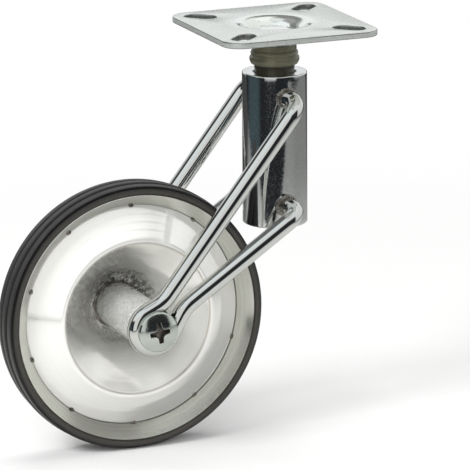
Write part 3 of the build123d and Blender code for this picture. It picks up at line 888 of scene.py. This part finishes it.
# scuffed bare tube: fine uneven frost with worn brighter patches
def makeGalvanised():
    made, tree, surface, position = newMaterial("galvanised", hub, Metallic=0.62)
    patches = placed(tree, "mottle", position, 130.0, 1.8)[0]
    frost = placed(tree, "mottle", position, 620.0, 2.6)[0]
    drawn = placed(tree, "streaks", position, 420.0, (1.0, 0.25, 1.0))[0]
    base = hub["colour"]
    cloudy = twoTone(tree, patches, base, 0.84, 1.06)
    frosted = blended(tree, ranged(tree, frost, 0.0, 0.55, 0.45, 0.0), cloudy, shade((0.46, 0.46, 0.43)))
    depth = times(tree, part(tree, position, 1), 1000.0)
    root = ranged(tree, depth, 0.0, disc["bowlDepth"] + 0.3)
    root = times(tree, root, ranged(tree, frost, 0.2, 0.9, 0.95, 0.25))
    sooted = blended(tree, root, frosted, shade((0.22, 0.22, 0.20)))
    feed(surface, "Base Color", sooted)
    roughened(surface, patches, 0.0, 1.0, hub, 0.7, 1.5)
    first = bumped(surface, frost, 0.35, 0.05)
    bumped(surface, drawn, 0.3, 0.05, first)
    return made


materials["galvanised"] = makeGalvanised()
hubHalf = (hubHigh.y - hubLow.y) / 2
hubSection = edgeRounded([(hub["bore"], -hubHalf), (hub["radius"], -hubHalf), (hub["radius"], hubHalf),
                          (hub["bore"], hubHalf)], 0.35)
shape = lathed(refined(hubSection, 1.5), 192)
addPiece("hubTube", shape, "wheel", "galvanised", ["hub_tube"], axle)


# lumpy weld ring in the corner between the disc and the hub tube
def hubBead(face, out):
    path = []
    for k in range(220):
        angle = 2 * pi * k / 220
        reach = hub["radius"] + 0.3 + 0.2 * sin(7 * angle + face)
        path.append(Vector((reach * cos(angle), face + out * 0.3, reach * sin(angle))))

    def size(share, angle):
        around = (cos(2 * pi * share) * 3, sin(2 * pi * share) * 3, face + 0.4 * cos(angle))
        return hub["bead"] + roughness3(around, 1.6, 0.35) + roughness3(around, 6.0, 0.2)

    return swept(path, size, around=26, closed=True)


hubWelds = (("hubBeadFront", disc["bowlDepth"], -1), ("hubBeadBack", disc["bowlDepth"] + disc["sheet"], 1))
for name, face, out in hubWelds:
    addPiece(name, hubBead(face, out), "wheel", "weld", ["hub_welds"], axle)

# tack welds that hold the disc in the rim
tack = {"count": 10, "radius": 0.8}


# one flattened weld lump in the corner between the disc's shoulder and the rim
def tackLump(index):
    angle = 2 * pi * (index + 0.5) / tack["count"]
    outward, around = Vector((cos(angle), 0, sin(angle))), Vector((-sin(angle), 0, cos(angle)))
    centre = outward * (rim["land"] - 0.3) - Vector((0, disc["shoulder"] + 0.4, 0))
    vertices, faces = [], []
    for row in range(1, 16):
        tilt = pi * row / 16
        for k in range(24):
            turn = 2 * pi * k / 24
            ray = around * cos(tilt) + (outward * cos(turn) + Vector((0, 1, 0)) * sin(turn)) * sin(tilt)
            reach = tack["radius"] * (1 + 0.22 * noise.noise(ray * 2.3 + Vector((index, 0, 0))))
            vertices.append(centre + around * ray.dot(around) * reach * 1.5 +
                            (ray - around * ray.dot(around)) * reach)
    for row in range(14):
        for k in range(24):
            after = (k + 1) % 24
            faces.append((row * 24 + k, row * 24 + after, row * 24 + 24 + after, row * 24 + 24 + k))
    faces += [tuple(range(24)), tuple(range(14 * 24, 15 * 24))[::-1]]
    return vertices, faces


for index in range(tack["count"]):
    addPiece(f"rimTack{index}", tackLump(index), "wheel", "weld", ["rim_tacks"], axle)

# solid rubber tyre with a middle rib and two bands each side
tyre = {
    "radius": 62.5, "half": 9.6, "ribHalf": 1.7, "bandFrom": 4.3, "bandTo": 7.8, "shallow": 1.1,
    "deep": 2.2, "colour": (0.026, 0.025, 0.0245), "wallColour": (0.047, 0.044, 0.039), "roughness": 0.42,
}


def makeRubber():
    made, tree, surface, position = newMaterial("tyreRubber", tyre, Specular_IOR_Level=0.45)
    rings = placed(tree, "ringGrain", position, 2.2, 0.6)
    patches = placed(tree, "mottle", position, 90.0, 1.6)[0]
    dust = placed(tree, "speckle", position, 800.0, 0.25)
    base, wall = tyre["colour"], tyre["wallColour"]
    tread = twoTone(tree, patches, base, 0.7, 1.5)
    scuffed = twoTone(tree, rings["Tone"], wall, 0.6, 1.35)
    radius = times(tree, rings["Radius"], 1000.0)
    side = ranged(tree, radius, tyre["radius"] - 2.3, tyre["radius"] - 1.6, 1.0, 0.0)
    # painted shade: the groove floors below the ribs are coloured near black
    paintedHollowShade = ranged(tree, radius, tyre["radius"] - tyre["shallow"] - 0.1, tyre["radius"] - 0.5, 1.0, 0.0)
    ribbed = blended(tree, paintedHollowShade, tread, shade((0.004, 0.004, 0.004)))
    cloudy = blended(tree, side, ribbed, scuffed)
    dusty = washed(tree, dust[0], 0.25, cloudy, (0.22, 0.22, 0.22))
    feed(surface, "Base Color", dusty)
    roughened(surface, patches, 0.0, 1.0, tyre, 0.8, 1.3)
    hatch = placed(tree, "streaks", position, 1300.0, (1, 0.05, 1))[0]
    first = bumped(surface, rings["Height"], 0.35, 0.12)
    second = bumped(surface, hatch, 0.5, 0.10, first)
    bumped(surface, dust[1], 0.2, 0.08, second)
    return made


materials["tyre_rubber"] = makeRubber()
crownTop, band = tyre["radius"], tyre["radius"] - 0.25
shallow, deep = crownTop - tyre["shallow"], crownTop - tyre["deep"]
half = refined(filleted(
    [(crownTop, 0), (crownTop, tyre["ribHalf"]), (shallow, tyre["ribHalf"] + 0.25),
     (shallow, tyre["bandFrom"] - 0.25), (band, tyre["bandFrom"]), (band - 0.25, tyre["bandTo"]),
     (deep, tyre["bandTo"] + 0.25), (deep, tyre["bandTo"] + 0.7), (deep + 0.7, tyre["bandTo"] + 0.95),
     (deep + 0.45, tyre["half"] - 0.15), (deep - 0.9, tyre["half"]),
     (rim["lip"] + 0.6, rim["lipHalf"] + 0.1), (rim["lip"] + 0.75, rim["lipHalf"]),
     (rim["land"] + 0.75, rim["landHalf"])],
    (0.4, 0.15, 0.15, 0.4, 0.6, 0.15, 0.15, 0.25, 0.5, 0.6, 0.2, 0.1), 0.1), 0.6)
otherHalf = [Vector((p.x, -p.y)) for p in half[1:]][::-1]
shape = lathed(otherHalf + half, 384)
addPiece("tyreBody", shape, "wheel", "tyre_rubber", ["tyre"], axle, sharp=35)
print("wheel built")

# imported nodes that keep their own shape: slot by node, with their edges softened
pin = {"colour": (0.62, 0.64, 0.67), "roughness": 0.2}
materials["pin_steel"] = makeChrome("pinSteel", pin)
carried = {
    "kingpin": "zinc_plate", "thrust_washer": "pin_steel", "pin_washer": "zinc_plate",
    "lock_nut": "zinc_plate", "lower_bush": "nylon", "near_axle_washer": "screw_zinc",
    "far_axle_washer": "screw_zinc", "near_hub_bush": "nylon", "far_hub_bush": "nylon",
}
for node, slotName in carried.items():
    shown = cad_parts[node]
    shown.data.materials.clear()
    shown.data.materials.append(materials[slotName])
    soft = shown.modifiers.new("softEdges", "BEVEL")
    soft.width, soft.segments, soft.angle_limit = 0.15 * mm, 2, radians(35)

# where the object is seen from, in degrees and millimetres; azimuth 0 looks along +Y
viewpoint = {
    "azimuth": -22.496, "elevation": 14.39, "roll": -0.374, "distance": 2000.3, "lens": 331.04,
    "target": (-20.17, 0.0, -98.85),
}


def direction(azimuth, elevation):
    a, e = radians(azimuth), radians(elevation)
    return Vector((sin(a) * cos(e), -cos(a) * cos(e), sin(e)))


# the room that metal mirrors
studio = {"ambient": 0.34, "roomLow": (0.020, 0.022, 0.025), "roomHigh": (0.045, 0.045, 0.047)}
# azimuth from the viewpoint (left negative), elevation, half sizes as tangents, soft edge, level
softboxes = [
    (-80, -12, 0.45, 0.35, 0.20, (0.055, 0.08, 0.09)),
    (102, 17, 0.60, 0.48, 0.12, (0.80, 0.81, 0.81)),
    (-140, 12, 0.34, 0.45, 0.12, (0.35, 0.37, 0.38)),
    (180, 21, 0.90, 0.24, 0.08, (0.88, 0.89, 0.90)),
    (0, 86, 0.42, 0.32, 0.12, (0.72, 0.74, 0.75)),
    (112, 66, 0.50, 0.28, 0.10, (0.98, 0.98, 0.97)),
    (130, 34, 0.45, 0.34, 0.12, (0.85, 0.85, 0.84)),
    (142, 0, 0.26, 0.30, 0.10, (0.85, 0.85, 0.84)),
    (-112, 58, 0.30, 0.25, 0.12, (0.17, 0.17, 0.18)),
    (-56, 38, 0.36, 0.28, 0.08, (0.95, 0.95, 0.94)),
    (48, 54, 0.90, 0.32, 0.08, (0.86, 0.87, 0.87)),
    (-15, 16, 0.40, 0.48, 0.05, (0.84, 0.84, 0.83)),
    (-36, 50, 0.42, 0.30, 0.07, (0.90, 0.96, 1.0)),
]


def mixed(tree, share, first, second):
    return addNode(tree, "MixShader", {0: share, 1: first, 2: second}).outputs[0]


# plain light of one colour and strength
def lit(tree, kind, colour, level=1.0):
    return addNode(tree, kind, {0: colour, 1: level}).outputs[0]


# white backdrop for the viewer; a dim room with softboxes for what metal mirrors
def makeWorld():
    world = bpy.data.worlds.new("studio")
    bpy.context.scene.world = world
    world.use_nodes = True
    tree = world.node_tree
    tree.nodes.clear()
    looking = addNode(tree, "TexCoord").outputs["Generated"]
    rise = ranged(tree, part(tree, looking, 2), -0.1, 0.8)
    room = blended(tree, rise, shade(studio["roomLow"]), shade(studio["roomHigh"]))
    for azimuth, elevation, halfWidth, halfHeight, edge, level in softboxes:
        centre = direction(viewpoint["azimuth"] + azimuth, elevation)
        across = direction(viewpoint["azimuth"] + azimuth + 90, 0)
        box = (looking, centre, across, across.cross(-centre), halfWidth, halfHeight, edge)
        room = blended(tree, placed(tree, "softbox", *box)[0], room, shade(level))
    path = addNode(tree, "LightPath")
    white = shade((1, 1, 1))
    either = sums(tree, "MAXIMUM", path.outputs["Is Glossy Ray"], path.outputs["Is Transmission Ray"])
    ambient = lit(tree, "Background", white, studio["ambient"])
    around = mixed(tree, either, ambient, lit(tree, "Background", room))
    seen = mixed(tree, path.outputs["Is Camera Ray"], around, lit(tree, "Background", white))
    addNode(tree, "OutputWorld", {0: seen})


# pale paper under the object, its corners towards the viewer and to the right
floor = {
    "colour": (0.83, 0.83, 0.825), "mirroredColour": (0.62, 0.62, 0.61), "roughness": 0.9,
    "corners": [(285.0, -470.0), (540.0, 640.0), (-2600.0, 1500.0), (-2600.0, -1400.0)],
}


def makeFloor():
    made, tree, surface, place = newMaterial("paleFloor", floor, Specular_IOR_Level=0.0)
    rays = addNode(tree, "LightPath").outputs
    seen, white = rays["Is Camera Ray"], shade((1, 1, 1))
    pale = blended(tree, seen, shade(floor["mirroredColour"]), shade(floor["colour"]))
    feed(surface, "Base Color", pale)
    glow = lit(tree, "Emission", white, times(tree, seen, 0.02))
    both = addNode(tree, "AddShader", {0: surface.outputs[0], 1: glow}).outputs[0]
    # painted shade: what metal mirrors of it grows darker with distance and behind the object
    distance = vectorSums(tree, "LENGTH", place)
    far = ranged(tree, distance, 0.25, 0.60, 0.0, 0.62)
    away = vectorSums(tree, "DOT_PRODUCT", place, direction(viewpoint["azimuth"] - 160, 0))
    behind = sums(tree, "MAXIMUM", far, ranged(tree, away, 0.15, 0.45, 0.0, 0.9))
    dim = times(tree, behind, rays["Is Glossy Ray"])
    faded = mixed(tree, dim, both, lit(tree, "Emission", shade((0, 0, 0)), 0.0))
    # and the viewer sees plain white paper away from the object
    distant = ranged(tree, distance, 0.34, 0.60)
    paper = mixed(tree, times(tree, distant, seen), faded, lit(tree, "Emission", white))
    tree.links.new(paper, tree.nodes["Material Output"].inputs[0])
    ahead, across = direction(viewpoint["azimuth"], 0), direction(viewpoint["azimuth"] + 90, 0)
    spots = [ahead * forward + across * sideways for forward, sideways in floor["corners"]]
    mesh = bpy.data.meshes.new("floor")
    mesh.from_pydata([(s.x * mm, s.y * mm, floorHeight * mm) for s in spots], [], [(0, 1, 2, 3)])
    mesh.materials.append(made)
    linked("floor", mesh)


# soft lamp aimed at the middle of the object; metal mirrors the studio instead of it
def addLamp(name, azimuth, elevation, distance, size, power):
    lamp = bpy.data.lights.new(name, "AREA")
    lamp.shape, lamp.size, lamp.size_y = "RECTANGLE", size[0], size[1]
    lamp.energy = power
    made = linked(name, lamp)
    away = direction(viewpoint["azimuth"] + azimuth, elevation)
    made.location = Vector(viewpoint["target"]) * mm + away * distance
    made.rotation_mode = "QUATERNION"
    made.rotation_quaternion = away.to_track_quat("Z", "Y")
    made.visible_glossy = False


makeWorld()
makeFloor()
# azimuth, elevation, distance in metres, size, power
lamps = {
    "keyLamp": (-44, 40, 1.6, (0.6, 0.4), 15.0), "topLamp": (165, 76, 1.5, (1.3, 1.0), 12.5),
    "frontLamp": (4, 30, 2.0, (1.8, 1.2), 22.0),
}
for name, values in lamps.items():
    addLamp(name, *values)
print("studio ready")

camera = linked("camera", bpy.data.cameras.new("camera"))
bpy.context.scene.camera = camera
away = direction(viewpoint["azimuth"], viewpoint["elevation"])
camera.data.lens, camera.data.sensor_width = viewpoint["lens"], 36.0
camera.data.clip_start, camera.data.clip_end = 0.1, 20.0
camera.rotation_mode = "QUATERNION"
roll = Matrix.Rotation(radians(viewpoint["roll"]), 3, "Z").to_quaternion()
camera.rotation_quaternion = away.to_track_quat("Z", "Y") @ roll
camera.location = (Vector(viewpoint["target"]) + away * viewpoint["distance"]) * mm
bpy.context.scene.view_settings.view_transform = "Standard"

print("scene finished")
